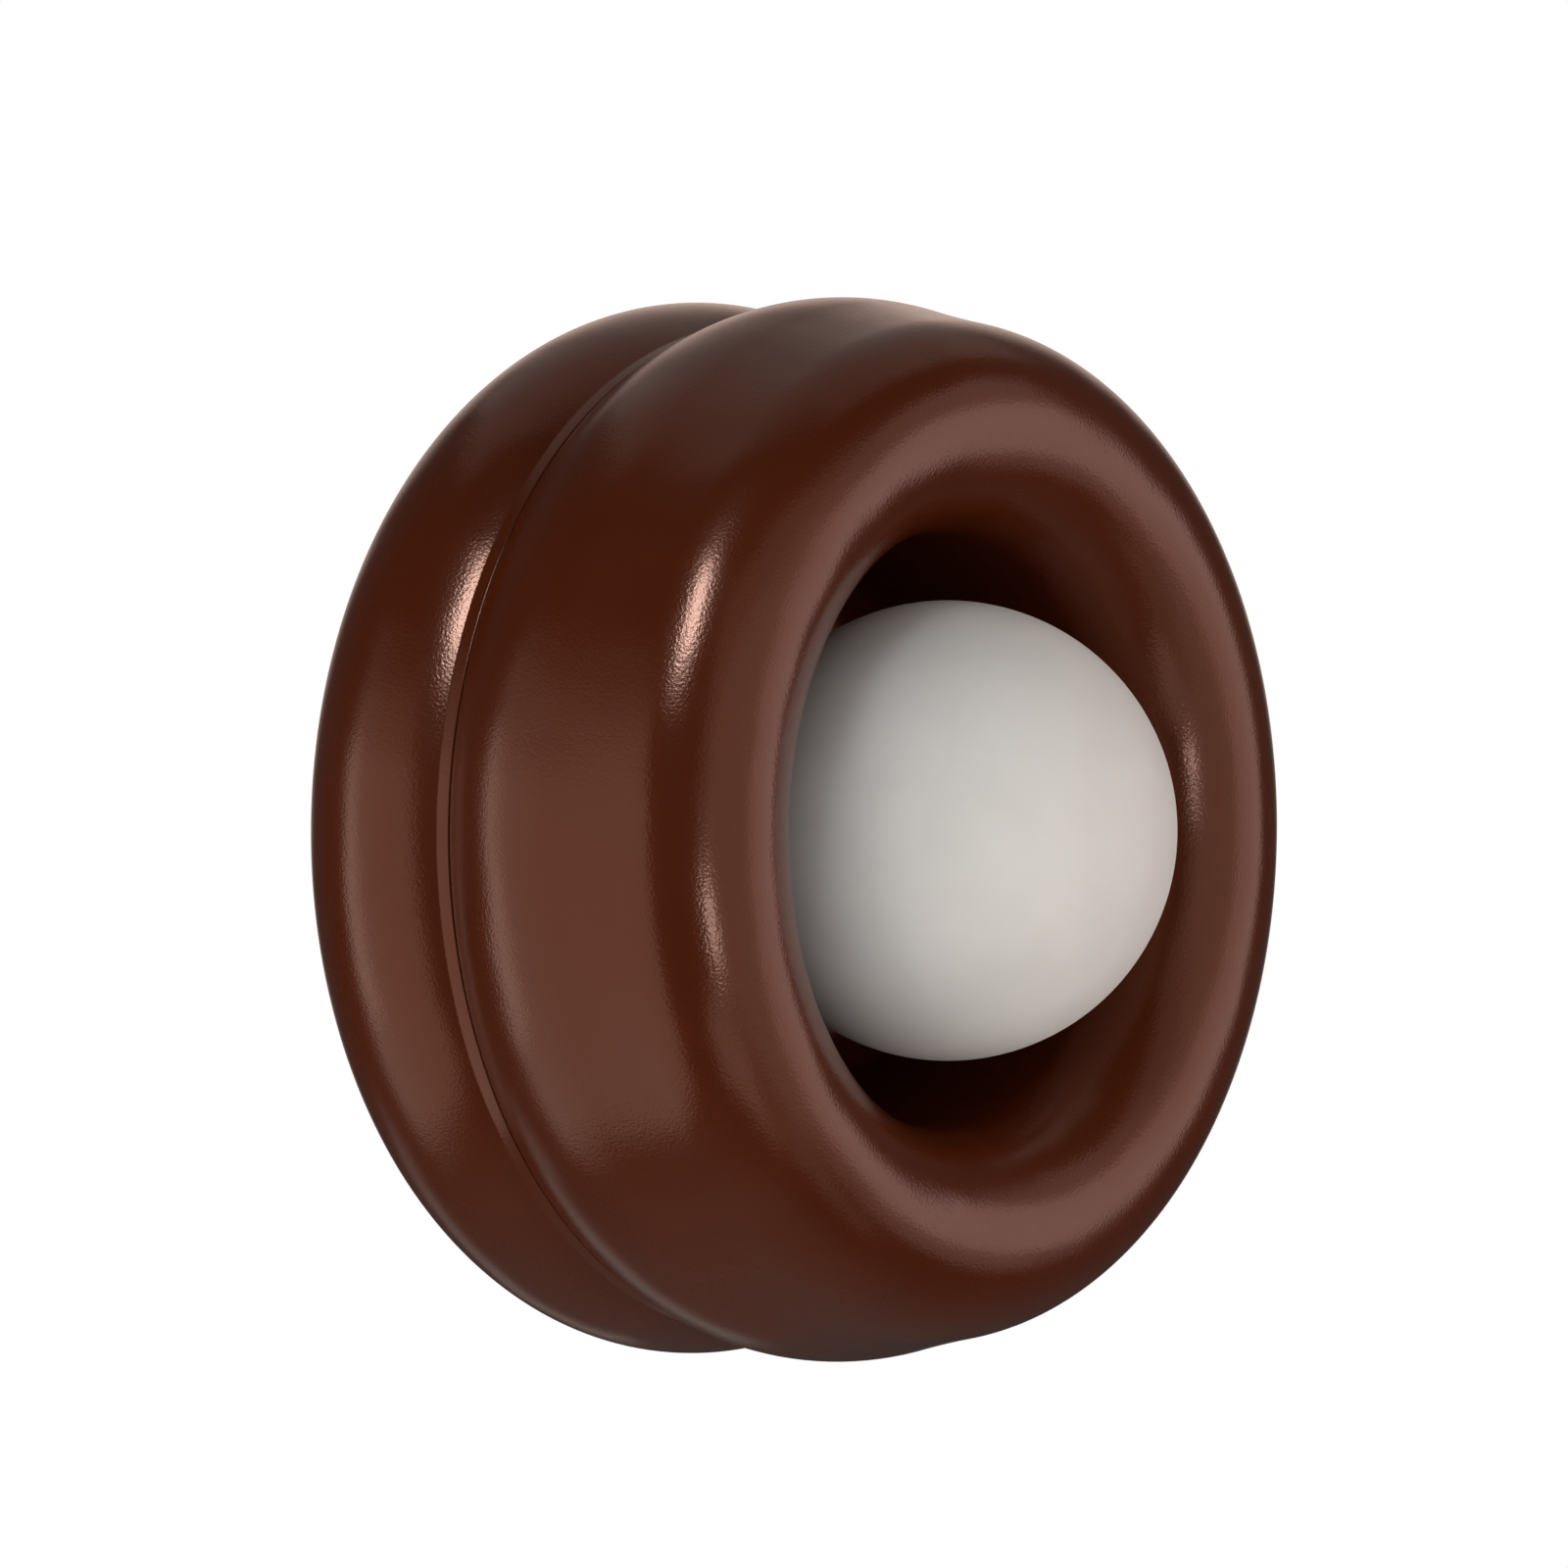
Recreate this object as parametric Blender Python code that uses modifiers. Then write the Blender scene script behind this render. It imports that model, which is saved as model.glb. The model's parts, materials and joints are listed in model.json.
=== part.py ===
"""Round wall light: a double-bulge spun housing with a deep well and a screw-in opal glass globe.

Everything is modelled lying on its back, in a bench frame: X to the right, Y up the wall,
Z out of the wall along the lamp axis. One empty then stands the bench frame up on the wall,
so that the lamp axis points along -Y and the wall is the plane y = 0.
"""
import math

import bmesh
import bpy
from mathutils import Vector

mm = 0.001

# Fits: between pieces that touch, and round pieces that slide, turn or pass through
FIT = 0.3 * mm
THREAD_CLEARANCE = 0.6 * mm

# How far a cutting tool runs past the faces that it cuts
OVERRUN = 1.0 * mm

# Spun housing
HOUSING_RADIUS = 116.5 * mm
SHEET = 1.6 * mm
REAR_BACK_ROUND = 30.0 * mm
REAR_FRONT_ROUND = 16.0 * mm
GROOVE_DEPTH = 9.5 * mm
CROWN_ROUND = 40.0 * mm
WAIST_ROUND = 100.0 * mm
LIP_ROUND = 22.0 * mm
LIP_INSET = 29.7 * mm
LIP_AHEAD = 24.8 * mm
WELL_DEPTH = 82.2 * mm
WELL_ROUND = 14.0 * mm
SEAM_FLANGE_WIDTH = 8.0 * mm
BACK_FLANGE_WIDTH = 10.4 * mm

# Back plate, its hoop and its holes
PLATE_THICKNESS = 2.0 * mm
PLATE_MARGIN = 2.4 * mm
HOOP_HEIGHT = 5.0 * mm
HOOP_WALL = 1.5 * mm
SLOT_WIDTH = 6.0 * mm
SLOT_LENGTH = 16.0 * mm
SLOT_CENTRES = 116.0 * mm
CABLE_HOLE_RADIUS = 9.0 * mm
CABLE_HOLE_OFFSET = 32.0 * mm
GROMMET_BORE_RADIUS = 5.5 * mm
GROMMET_LIP = 2.2 * mm
GROMMET_LIP_THICKNESS = 1.5 * mm

# Bridge bracket that carries the centre tube
STRAP_THICKNESS = 1.5 * mm
STRAP_WIDTH = 20.0 * mm
BRIDGE_SPAN = 52.0 * mm
BRIDGE_FOOT = 16.0 * mm
NUT_TO_WELL = 9.2 * mm

# Centre tube and its nuts
TUBE_RADIUS = 5.0 * mm
TUBE_BORE_RADIUS = 3.6 * mm
TUBE_NUT_FLATS = 14.0 * mm
TUBE_NUT_THICKNESS = 3.0 * mm
WASHER_RADIUS = 9.0 * mm
WASHER_THICKNESS = 1.0 * mm
TUBE_TAIL = 2.5 * mm

# Globe, its threaded neck collar, the gallery that it screws into, and the seal between them
GLOBE_RADIUS = 50.0 * mm
GLASS = 3.0 * mm
NECK_RADIUS = 21.0 * mm
NECK_LENGTH = 13.0 * mm
NECK_END_CLEARANCE = 1.5 * mm
GALLERY_WALL = 2.4 * mm
GALLERY_FLOOR = 2.0 * mm
SEAL_THICKNESS = 2.4 * mm
SEAL_OVERHANG = 1.0 * mm

# Lamp holder, its stirrup, and the capsule lamp
HOLDER_SIZE = (17.0 * mm, 13.0 * mm, 16.0 * mm)
HOLDER_STANDOFF = 5.0 * mm
HOLDER_EDGE = 1.5 * mm
STIRRUP_THICKNESS = 1.2 * mm
STIRRUP_WIDTH = 12.0 * mm
STIRRUP_ARM = 13.0 * mm
PIN_SPACING = 9.0 * mm
PIN_RADIUS = 0.6 * mm
PIN_LENGTH = 7.0 * mm
PIN_SOCKET_CLEARANCE = 0.7 * mm
CAPSULE_RADIUS = 8.0 * mm
CAPSULE_LENGTH = 36.0 * mm
LAMP_BASE_RADIUS = 7.4 * mm
LAMP_BASE_LENGTH = 8.0 * mm
LAMP_BASE_EDGE = 1.0 * mm

# Terminal block, earth screw and wires
BLOCK_WIDTH = 14.0 * mm
BLOCK_HEIGHT = 13.0 * mm
BLOCK_END = 1.0 * mm
BLOCK_OFFSET = 36.0 * mm
BLOCK_EDGE = 0.8 * mm
POLES = (1.0, 0.0, -1.0)
POLE_PITCH = 8.0 * mm
POLE_BORE_RADIUS = 1.9 * mm
POLE_BORE_HEIGHT = 5.0 * mm
POLE_SCREW_RADIUS = 1.7 * mm
POLE_SCREW_LENGTH = 4.0 * mm
WIRE_RADIUS = 0.9 * mm
WIRE_SPREAD = 1.5 * mm
EARTH_PLACE = (30.0 * mm, -30.0 * mm)
EARTH_TAG_THICKNESS = 0.8 * mm
EARTH_TAG_MARGIN = 1.0 * mm
WIRE_INSERT = 1.0 * mm
WIRE_LEAD = 3.0 * mm
WIRE_DIP = 5.0 * mm
WIRE_RISE = 1.0 * mm

# Screws: shank radius, head radius and head height
M4 = (2.0 * mm, 3.8 * mm, 2.4 * mm)
M3 = (1.5 * mm, 2.7 * mm, 1.9 * mm)
M3_NUT_FLATS = 5.5 * mm
M3_NUT_THICKNESS = 2.4 * mm
HEAD_DOME = 0.45
HEAD_FLAT = 0.62
SEAM_SCREW_ANGLES = (90.0, 210.0, 330.0)

# Facets
SHELL_SEGMENTS = 48
GLOBE_SEGMENTS = 36
SMALL_SEGMENTS = 24
FINE_SEGMENTS = 12
GLOBE_OUTER_STEPS = 14
GLOBE_INNER_STEPS = 7
CAPSULE_STEPS = 5

# Radii that follow from the sizes above
GROOVE_RADIUS = HOUSING_RADIUS - GROOVE_DEPTH
LIP_CENTRE_RADIUS = HOUSING_RADIUS - LIP_INSET
WELL_RADIUS = LIP_CENTRE_RADIUS - LIP_ROUND
TUBE_HOLE = TUBE_RADIUS + FIT
SEAM_FLANGE_RADIUS = GROOVE_RADIUS - SEAM_FLANGE_WIDTH
SEAM_SCREW_RADIUS = SEAM_FLANGE_RADIUS + M3[1] + FIT
BACK_ROUND_RADIUS = HOUSING_RADIUS - REAR_BACK_ROUND
BACK_FLANGE_RADIUS = BACK_ROUND_RADIUS - BACK_FLANGE_WIDTH
PLATE_RADIUS = BACK_ROUND_RADIUS - PLATE_MARGIN
HOOP_RADIUS = BACK_FLANGE_RADIUS - FIT
GALLERY_BORE = NECK_RADIUS + THREAD_CLEARANCE
GALLERY_RADIUS = GALLERY_BORE + GALLERY_WALL

# Heights along the lamp axis, each from the piece below it
PLATE_FRONT = PLATE_THICKNESS
REAR_BACK = PLATE_FRONT + FIT
REAR_CREST = REAR_BACK + REAR_BACK_ROUND
REAR_SEAM = REAR_CREST + math.sqrt(REAR_FRONT_ROUND ** 2 - (REAR_FRONT_ROUND - GROOVE_DEPTH) ** 2)
FRONT_SEAM = REAR_SEAM + FIT
FRONT_CREST = FRONT_SEAM + math.sqrt(CROWN_ROUND ** 2 - (CROWN_ROUND - GROOVE_DEPTH) ** 2)
LIP_CENTRE = FRONT_CREST + LIP_AHEAD
LIP_CREST = LIP_CENTRE + LIP_ROUND
WELL_FLOOR = LIP_CREST - WELL_DEPTH
GALLERY_BOTTOM = WELL_FLOOR + FIT
GALLERY_TOP = GALLERY_BOTTOM + GALLERY_FLOOR
NECK_END = GALLERY_TOP + NECK_END_CLEARANCE
NECK_TOP = NECK_END + NECK_LENGTH
GLOBE_CENTRE = NECK_TOP + math.sqrt(GLOBE_RADIUS ** 2 - NECK_RADIUS ** 2)
CLAMP_WASHER = GALLERY_TOP + FIT
CLAMP_NUT = CLAMP_WASHER + WASHER_THICKNESS + FIT
STIRRUP_BASE = CLAMP_NUT + TUBE_NUT_THICKNESS + FIT
TUBE_FRONT = STIRRUP_BASE + STIRRUP_THICKNESS + FIT
HOLDER_BACK = TUBE_FRONT + HOLDER_STANDOFF
HOLDER_FRONT = HOLDER_BACK + HOLDER_SIZE[2]
FRONT_NUT = WELL_FLOOR - SHEET - NUT_TO_WELL - TUBE_NUT_THICKNESS
LOCK_WASHER = FRONT_NUT - FIT - WASHER_THICKNESS
BRIDGE_FOOT_TOP = PLATE_FRONT + FIT + STRAP_THICKNESS
BRIDGE_WEB_TOP = LOCK_WASHER - FIT
REAR_NUT = BRIDGE_WEB_TOP - STRAP_THICKNESS - FIT - TUBE_NUT_THICKNESS
TUBE_REAR = REAR_NUT - TUBE_TAIL
BLOCK_BASE = PLATE_FRONT + FIT
BLOCK_SIZE = (BLOCK_WIDTH, len(POLES) * POLE_PITCH + 2.0 * BLOCK_END, BLOCK_HEIGHT)


def new_collection(name):
    collection = bpy.data.collections.new(name)
    bpy.context.scene.collection.children.link(collection)
    return collection


for leftover in list(bpy.data.objects):
    bpy.data.objects.remove(leftover, do_unlink=True)

PARTS = new_collection("wall_light")
CUTTERS = new_collection("cutters")

BENCH = bpy.data.objects.new("lamp_axis", None)
BENCH.rotation_euler = (math.radians(90.0), 0.0, 0.0)
PARTS.objects.link(BENCH)


def finish(name, colour, roughness, metallic=0.0):
    material = bpy.data.materials.new(name)
    material.use_nodes = True
    shader = material.node_tree.nodes["Principled BSDF"]
    shader.inputs["Base Color"].default_value = (*colour, 1.0)
    shader.inputs["Roughness"].default_value = roughness
    shader.inputs["Metallic"].default_value = metallic
    return material


LACQUER = finish("brown_lacquer", (0.055, 0.016, 0.006), 0.22)
OPAL = finish("opal_glass", (0.72, 0.69, 0.65), 0.45)
ZINC = finish("zinc_plated_steel", (0.55, 0.56, 0.58), 0.35, 1.0)
BRASS = finish("brass", (0.66, 0.47, 0.20), 0.30, 1.0)
BLACK = finish("black_gallery_paint", (0.02, 0.018, 0.017), 0.40)
CERAMIC = finish("white_ceramic", (0.80, 0.79, 0.75), 0.45)
SILICONE = finish("clear_silicone", (0.70, 0.70, 0.68), 0.55)
RUBBER = finish("black_rubber", (0.02, 0.02, 0.02), 0.70)
FROSTED = finish("frosted_lamp", (0.85, 0.83, 0.78), 0.40)
NYLON = finish("white_nylon", (0.75, 0.75, 0.73), 0.45)
LIVE = finish("brown_insulation", (0.13, 0.05, 0.02), 0.45)
NEUTRAL = finish("blue_insulation", (0.03, 0.12, 0.42), 0.45)
EARTH = finish("green_yellow_insulation", (0.25, 0.45, 0.05), 0.45)


def place(name, data, material, location=(0.0, 0.0, 0.0), rotation=(0.0, 0.0, 0.0)):
    """A part in the bench frame."""
    part = bpy.data.objects.new(name, data)
    part.location = location
    part.rotation_euler = rotation
    part.parent = BENCH
    data.materials.append(material)
    PARTS.objects.link(part)
    return part


def cut(part, data, location=(0.0, 0.0, 0.0), rotation=(0.0, 0.0, 0.0)):
    """Take a tool's shape out of a part."""
    tool = bpy.data.objects.new(part.name + "_cutter", data)
    tool.location = location
    tool.rotation_euler = rotation
    tool.parent = BENCH
    tool.hide_render = True
    tool.display_type = 'WIRE'
    CUTTERS.objects.link(tool)
    boolean = part.modifiers.new("cut", 'BOOLEAN')
    boolean.operation = 'DIFFERENCE'
    boolean.solver = 'EXACT'
    boolean.object = tool


def arc(centre, radius, start, end, steps):
    """Points of a profile's arc, from one angle in degrees to another, ends included."""
    points = []
    for step in range(steps + 1):
        angle = math.radians(start + (end - start) * step / steps)
        points.append((centre[0] + radius * math.cos(angle), centre[1] + radius * math.sin(angle)))
    return points


def turned(name, profile, material, segments, closed=True, location=(0.0, 0.0, 0.0)):
    """A profile of (radius, height) points turned about Z, its outer side running downwards."""
    mesh = bpy.data.meshes.new(name)
    count = len(profile)
    edges = [(i, i + 1) for i in range(count - 1)]
    if closed:
        edges.append((count - 1, 0))
    mesh.from_pydata([(r, 0.0, z) for r, z in profile], edges, [])
    part = place(name, mesh, material, location)
    screw = part.modifiers.new("turn", 'SCREW')
    screw.axis = 'Z'
    screw.angle = 2.0 * math.pi
    screw.steps = segments
    screw.render_steps = segments
    screw.use_merge_vertices = True
    screw.merge_threshold = 0.00001
    screw.use_smooth_shade = True
    return part


def ring(inner, outer, bottom, top):
    return [(inner, top), (outer, top), (outer, bottom), (inner, bottom)]


def prism(name, radius, length, sides):
    """A cylinder, or a hexagon, from z = 0 up."""
    mesh = bpy.data.meshes.new(name)
    form = bmesh.new()
    bmesh.ops.create_cone(form, cap_ends=True, segments=sides, radius1=radius, radius2=radius, depth=length)
    bmesh.ops.translate(form, verts=form.verts, vec=(0.0, 0.0, length / 2.0))
    form.to_mesh(mesh)
    form.free()
    return mesh


def block(name, size):
    """A box with its base centred on z = 0."""
    mesh = bpy.data.meshes.new(name)
    form = bmesh.new()
    bmesh.ops.create_cube(form, size=1.0)
    bmesh.ops.scale(form, verts=form.verts, vec=size)
    bmesh.ops.translate(form, verts=form.verts, vec=(0.0, 0.0, size[2] / 2.0))
    form.to_mesh(mesh)
    form.free()
    return mesh


def soften(part, width, segments=2):
    bevel = part.modifiers.new("soften", 'BEVEL')
    bevel.width = width
    bevel.segments = segments
    bevel.limit_method = 'ANGLE'


def drill(part, radius, bottom, length, at=(0.0, 0.0), sides=FINE_SEGMENTS):
    """A round hole along Z that runs past both faces of what it goes through."""
    tool = prism(part.name + "_drill", radius, length + 2.0 * OVERRUN, sides)
    cut(part, tool, (at[0], at[1], bottom - OVERRUN))


def nut(name, flats, thickness, bore, bottom, at=(0.0, 0.0)):
    mesh = prism(name, flats / math.sqrt(3.0), thickness, 6)
    part = place(name, mesh, ZINC, (at[0], at[1], bottom))
    drill(part, bore, bottom, thickness, at)
    return part


def screw_profile(size, length):
    """A pan-head screw standing on its seat at z = 0: head above, shank below."""
    shank, head, height = size
    dome = height * HEAD_DOME
    return [(0.0, height), (head * HEAD_FLAT, height), (head, height - dome), (head, 0.0),
            (shank, 0.0), (shank, -length), (0.0, -length)]


def pan_screw(name, size, seat, length, at, from_behind=False):
    part = turned(name, screw_profile(size, length), ZINC, FINE_SEGMENTS, False, (at[0], at[1], seat))
    if from_behind:
        part.rotation_euler = (math.pi, 0.0, 0.0)
    return part


def strap(name, path, width, thickness, material):
    """A bent strip: a path in Y and Z, drawn out along X and thickened to the right of the path."""
    mesh = bpy.data.meshes.new(name)
    form = bmesh.new()
    row = [form.verts.new((-width / 2.0, y, z)) for y, z in path]
    edges = [form.edges.new(pair) for pair in zip(row, row[1:])]
    drawn = bmesh.ops.extrude_edge_only(form, edges=edges)["geom"]
    far = [item for item in drawn if isinstance(item, bmesh.types.BMVert)]
    bmesh.ops.translate(form, verts=far, vec=(width, 0.0, 0.0))
    bmesh.ops.recalc_face_normals(form, faces=form.faces)
    form.normal_update()
    left = Vector((0.0, path[0][1] - path[1][1], path[1][0] - path[0][0]))
    if edges[0].link_faces[0].normal.dot(left) < 0.0:
        bmesh.ops.reverse_faces(form, faces=form.faces)
    form.to_mesh(mesh)
    form.free()
    part = place(name, mesh, material)
    solidify = part.modifiers.new("thickness", 'SOLIDIFY')
    solidify.thickness = thickness
    solidify.offset = -1.0
    solidify.use_even_offset = True
    return part


def smooth_route(points, per_span=3):
    """A Catmull-Rom curve through hand-set points."""
    ends = [2.0 * points[0] - points[1]] + points + [2.0 * points[-1] - points[-2]]
    route = []
    for a, b, c, d in zip(ends, ends[1:], ends[2:], ends[3:]):
        for step in range(per_span):
            t = step / per_span
            route.append(0.5 * (2.0 * b + (c - a) * t + (2.0 * a - 5.0 * b + 4.0 * c - d) * t ** 2
                                + (3.0 * b - a - 3.0 * c + d) * t ** 3))
    return route + [points[-1]]


def wire(name, points, material):
    route = smooth_route([Vector(p) for p in points])
    curve = bpy.data.curves.new(name, 'CURVE')
    curve.dimensions = '3D'
    curve.bevel_depth = WIRE_RADIUS
    curve.bevel_resolution = 1
    curve.use_fill_caps = True
    spline = curve.splines.new('POLY')
    spline.points.add(len(route) - 1)
    for point, where in zip(spline.points, route):
        point.co = (*where, 1.0)
    return place(name, curve, material)


def rear_path(inset, detail):
    """The rear bulge from its seam flange, over its crest and in to its back flange."""
    seam = REAR_SEAM - inset
    front_round = REAR_FRONT_ROUND - inset
    seam_angle = math.degrees(math.asin((seam - REAR_CREST) / front_round))
    front_centre = (HOUSING_RADIUS - REAR_FRONT_ROUND, REAR_CREST)
    back_centre = (BACK_ROUND_RADIUS, REAR_CREST)
    path = [(SEAM_FLANGE_RADIUS, seam)]
    path += arc(front_centre, front_round, seam_angle, 0.0, 2 * detail)
    path += arc(back_centre, REAR_BACK_ROUND - inset, 0.0, -90.0, 4 * detail)[1:]
    return path + [(BACK_FLANGE_RADIUS, REAR_BACK + inset)]


def waist_centre():
    """The centre of the hollow that joins the crown to the lip, outside both."""
    crown = Vector((HOUSING_RADIUS - CROWN_ROUND, FRONT_CREST))
    lip = Vector((LIP_CENTRE_RADIUS, LIP_CENTRE))
    from_crown = CROWN_ROUND + WAIST_ROUND
    from_lip = LIP_ROUND + WAIST_ROUND
    apart = (lip - crown).length
    along = (from_crown ** 2 - from_lip ** 2 + apart ** 2) / (2.0 * apart)
    aside = math.sqrt(from_crown ** 2 - along ** 2)
    line = (lip - crown) / apart
    return crown + along * line + aside * Vector((line.y, -line.x))


def bearing(origin, target):
    return math.degrees(math.atan2(target[1] - origin[1], target[0] - origin[0]))


def front_path(inset, detail):
    """The front bulge from the tube hole, up the well, over the rolled lip and down to the seam."""
    crown = (HOUSING_RADIUS - CROWN_ROUND, FRONT_CREST)
    lip = (LIP_CENTRE_RADIUS, LIP_CENTRE)
    waist = waist_centre()
    lip_end = bearing(lip, waist)
    crown_start = bearing(crown, waist)
    seam = FRONT_SEAM + inset
    seam_angle = math.degrees(math.asin((seam - FRONT_CREST) / (CROWN_ROUND - inset)))
    corner = (WELL_RADIUS - WELL_ROUND, WELL_FLOOR + WELL_ROUND)
    path = [(TUBE_HOLE, WELL_FLOOR - inset)]
    path += arc(corner, WELL_ROUND + inset, -90.0, 0.0, 2 * detail)
    path += arc(lip, LIP_ROUND - inset, 180.0, lip_end, 4 * detail)
    path += arc(waist, WAIST_ROUND + inset, lip_end + 180.0, crown_start + 180.0, 2)[1:-1]
    path += arc(crown, CROWN_ROUND - inset, crown_start, seam_angle, 3 * detail)
    return path + [(SEAM_FLANGE_RADIUS, seam)]


def seam_place(angle):
    turn = math.radians(angle)
    return (SEAM_SCREW_RADIUS * math.cos(turn), SEAM_SCREW_RADIUS * math.sin(turn))


def make_housing():
    rear = turned("rear_shell", rear_path(0.0, 2) + rear_path(SHEET, 1)[::-1], LACQUER, SHELL_SEGMENTS)
    front = turned("front_shell", front_path(0.0, 2) + front_path(SHEET, 1)[::-1], LACQUER, SHELL_SEGMENTS)
    stack = 2.0 * SHEET + FIT
    for number, angle in enumerate(SEAM_SCREW_ANGLES, 1):
        at = seam_place(angle)
        drill(rear, M3[0] + FIT, REAR_SEAM - SHEET, SHEET, at)
        drill(front, M3[0] + FIT, FRONT_SEAM, SHEET, at)
        length = FIT + stack + FIT + M3_NUT_THICKNESS
        pan_screw(f"seam_screw_{number}", M3, REAR_SEAM - SHEET - FIT, length, at, from_behind=True)
        nut(f"seam_nut_{number}", M3_NUT_FLATS, M3_NUT_THICKNESS, M3[0] + FIT, FRONT_SEAM + SHEET + FIT, at)


def make_back_plate():
    plate = place("back_plate", prism("back_plate", PLATE_RADIUS, PLATE_THICKNESS, SHELL_SEGMENTS), ZINC)
    drill(plate, CABLE_HOLE_RADIUS, 0.0, PLATE_THICKNESS, (-CABLE_HOLE_OFFSET, 0.0), SMALL_SEGMENTS)
    slot_straight = SLOT_LENGTH - SLOT_WIDTH
    slot_size = (SLOT_WIDTH, slot_straight, PLATE_THICKNESS + 2.0 * OVERRUN)
    for side in (-1.0, 1.0):
        middle = side * SLOT_CENTRES / 2.0
        cut(plate, block("wall_slot", slot_size), (middle, 0.0, -OVERRUN))
        for end in (-1.0, 1.0):
            drill(plate, SLOT_WIDTH / 2.0, 0.0, PLATE_THICKNESS, (middle, end * slot_straight / 2.0))
        drill(plate, M4[0] + FIT, 0.0, PLATE_THICKNESS, (0.0, side * bridge_foot_middle()))
    drill(plate, M4[0] + FIT, 0.0, PLATE_THICKNESS, EARTH_PLACE)
    hoop = ring(HOOP_RADIUS - HOOP_WALL, HOOP_RADIUS, PLATE_FRONT + FIT, PLATE_FRONT + FIT + HOOP_HEIGHT)
    turned("centring_hoop", hoop, ZINC, SHELL_SEGMENTS)
    waist = CABLE_HOLE_RADIUS - FIT
    flare = CABLE_HOLE_RADIUS + GROMMET_LIP
    lip_bottom = PLATE_FRONT + FIT
    lip_top = lip_bottom + GROMMET_LIP_THICKNESS
    profile = [(GROMMET_BORE_RADIUS, lip_top), (flare, lip_top), (flare, lip_bottom), (waist, lip_bottom),
               (waist, FIT), (GROMMET_BORE_RADIUS, FIT)]
    turned("cable_grommet", profile, RUBBER, SMALL_SEGMENTS, location=(-CABLE_HOLE_OFFSET, 0.0, 0.0))


def bridge_foot_middle():
    return BRIDGE_SPAN / 2.0 + BRIDGE_FOOT / 2.0


def make_bridge():
    half = BRIDGE_SPAN / 2.0
    toe = half + BRIDGE_FOOT
    path = [(-toe, BRIDGE_FOOT_TOP), (-half, BRIDGE_FOOT_TOP), (-half + STRAP_THICKNESS, BRIDGE_WEB_TOP),
            (half - STRAP_THICKNESS, BRIDGE_WEB_TOP), (half, BRIDGE_FOOT_TOP), (toe, BRIDGE_FOOT_TOP)]
    bridge = strap("bridge_bracket", path, STRAP_WIDTH, STRAP_THICKNESS, ZINC)
    drill(bridge, TUBE_HOLE, BRIDGE_WEB_TOP - STRAP_THICKNESS, STRAP_THICKNESS, sides=SMALL_SEGMENTS)
    for place_name, side in (("upper", 1.0), ("lower", -1.0)):
        at = (0.0, side * bridge_foot_middle())
        drill(bridge, M4[0] + FIT, BRIDGE_FOOT_TOP - STRAP_THICKNESS, STRAP_THICKNESS, at)
        seat = BRIDGE_FOOT_TOP + FIT
        pan_screw(f"bridge_screw_{place_name}", M4, seat, seat - FIT, at)


def make_tube():
    turned("support_tube", ring(TUBE_BORE_RADIUS, TUBE_RADIUS, TUBE_REAR, TUBE_FRONT), BRASS, SMALL_SEGMENTS)
    nut("tube_nut_rear", TUBE_NUT_FLATS, TUBE_NUT_THICKNESS, TUBE_HOLE, REAR_NUT)
    nut("tube_nut_front", TUBE_NUT_FLATS, TUBE_NUT_THICKNESS, TUBE_HOLE, FRONT_NUT)
    nut("clamp_nut", TUBE_NUT_FLATS, TUBE_NUT_THICKNESS, TUBE_HOLE, CLAMP_NUT)
    for name, bottom in (("lock_washer", LOCK_WASHER), ("clamp_washer", CLAMP_WASHER)):
        profile = ring(TUBE_HOLE, WASHER_RADIUS, bottom, bottom + WASHER_THICKNESS)
        turned(name, profile, ZINC, SMALL_SEGMENTS)


def make_globe():
    neck_bore = NECK_RADIUS - GLASS
    inside = GLOBE_RADIUS - GLASS
    centre = (0.0, GLOBE_CENTRE)
    outer_end = -math.degrees(math.acos(NECK_RADIUS / GLOBE_RADIUS))
    inner_end = -math.degrees(math.acos(neck_bore / inside))
    profile = arc(centre, GLOBE_RADIUS, 90.0, outer_end, GLOBE_OUTER_STEPS)
    profile.append((neck_bore, NECK_TOP))
    profile += arc(centre, inside, inner_end, 90.0, GLOBE_INNER_STEPS)
    profile[0] = (0.0, GLOBE_CENTRE + GLOBE_RADIUS)
    profile[-1] = (0.0, GLOBE_CENTRE + inside)
    turned("globe", profile, OPAL, GLOBE_SEGMENTS, closed=False)
    collar = ring(neck_bore, NECK_RADIUS, NECK_END, NECK_TOP - FIT)
    turned("globe_collar", collar, ZINC, GLOBE_SEGMENTS)

    seal_bore = NECK_RADIUS + FIT
    seal_top = GLOBE_CENTRE - math.sqrt(GLOBE_RADIUS ** 2 - seal_bore ** 2) - FIT
    seal_bottom = seal_top - SEAL_THICKNESS
    seal = ring(seal_bore, GALLERY_RADIUS + SEAL_OVERHANG, seal_bottom, seal_top)
    turned("seal_ring", seal, SILICONE, GLOBE_SEGMENTS)

    rim = seal_bottom - FIT
    cup = [(TUBE_HOLE, GALLERY_TOP), (GALLERY_BORE, GALLERY_TOP), (GALLERY_BORE, rim), (GALLERY_RADIUS, rim),
           (GALLERY_RADIUS, GALLERY_BOTTOM), (TUBE_HOLE, GALLERY_BOTTOM)]
    turned("gallery_cup", cup, BLACK, GLOBE_SEGMENTS)


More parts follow.
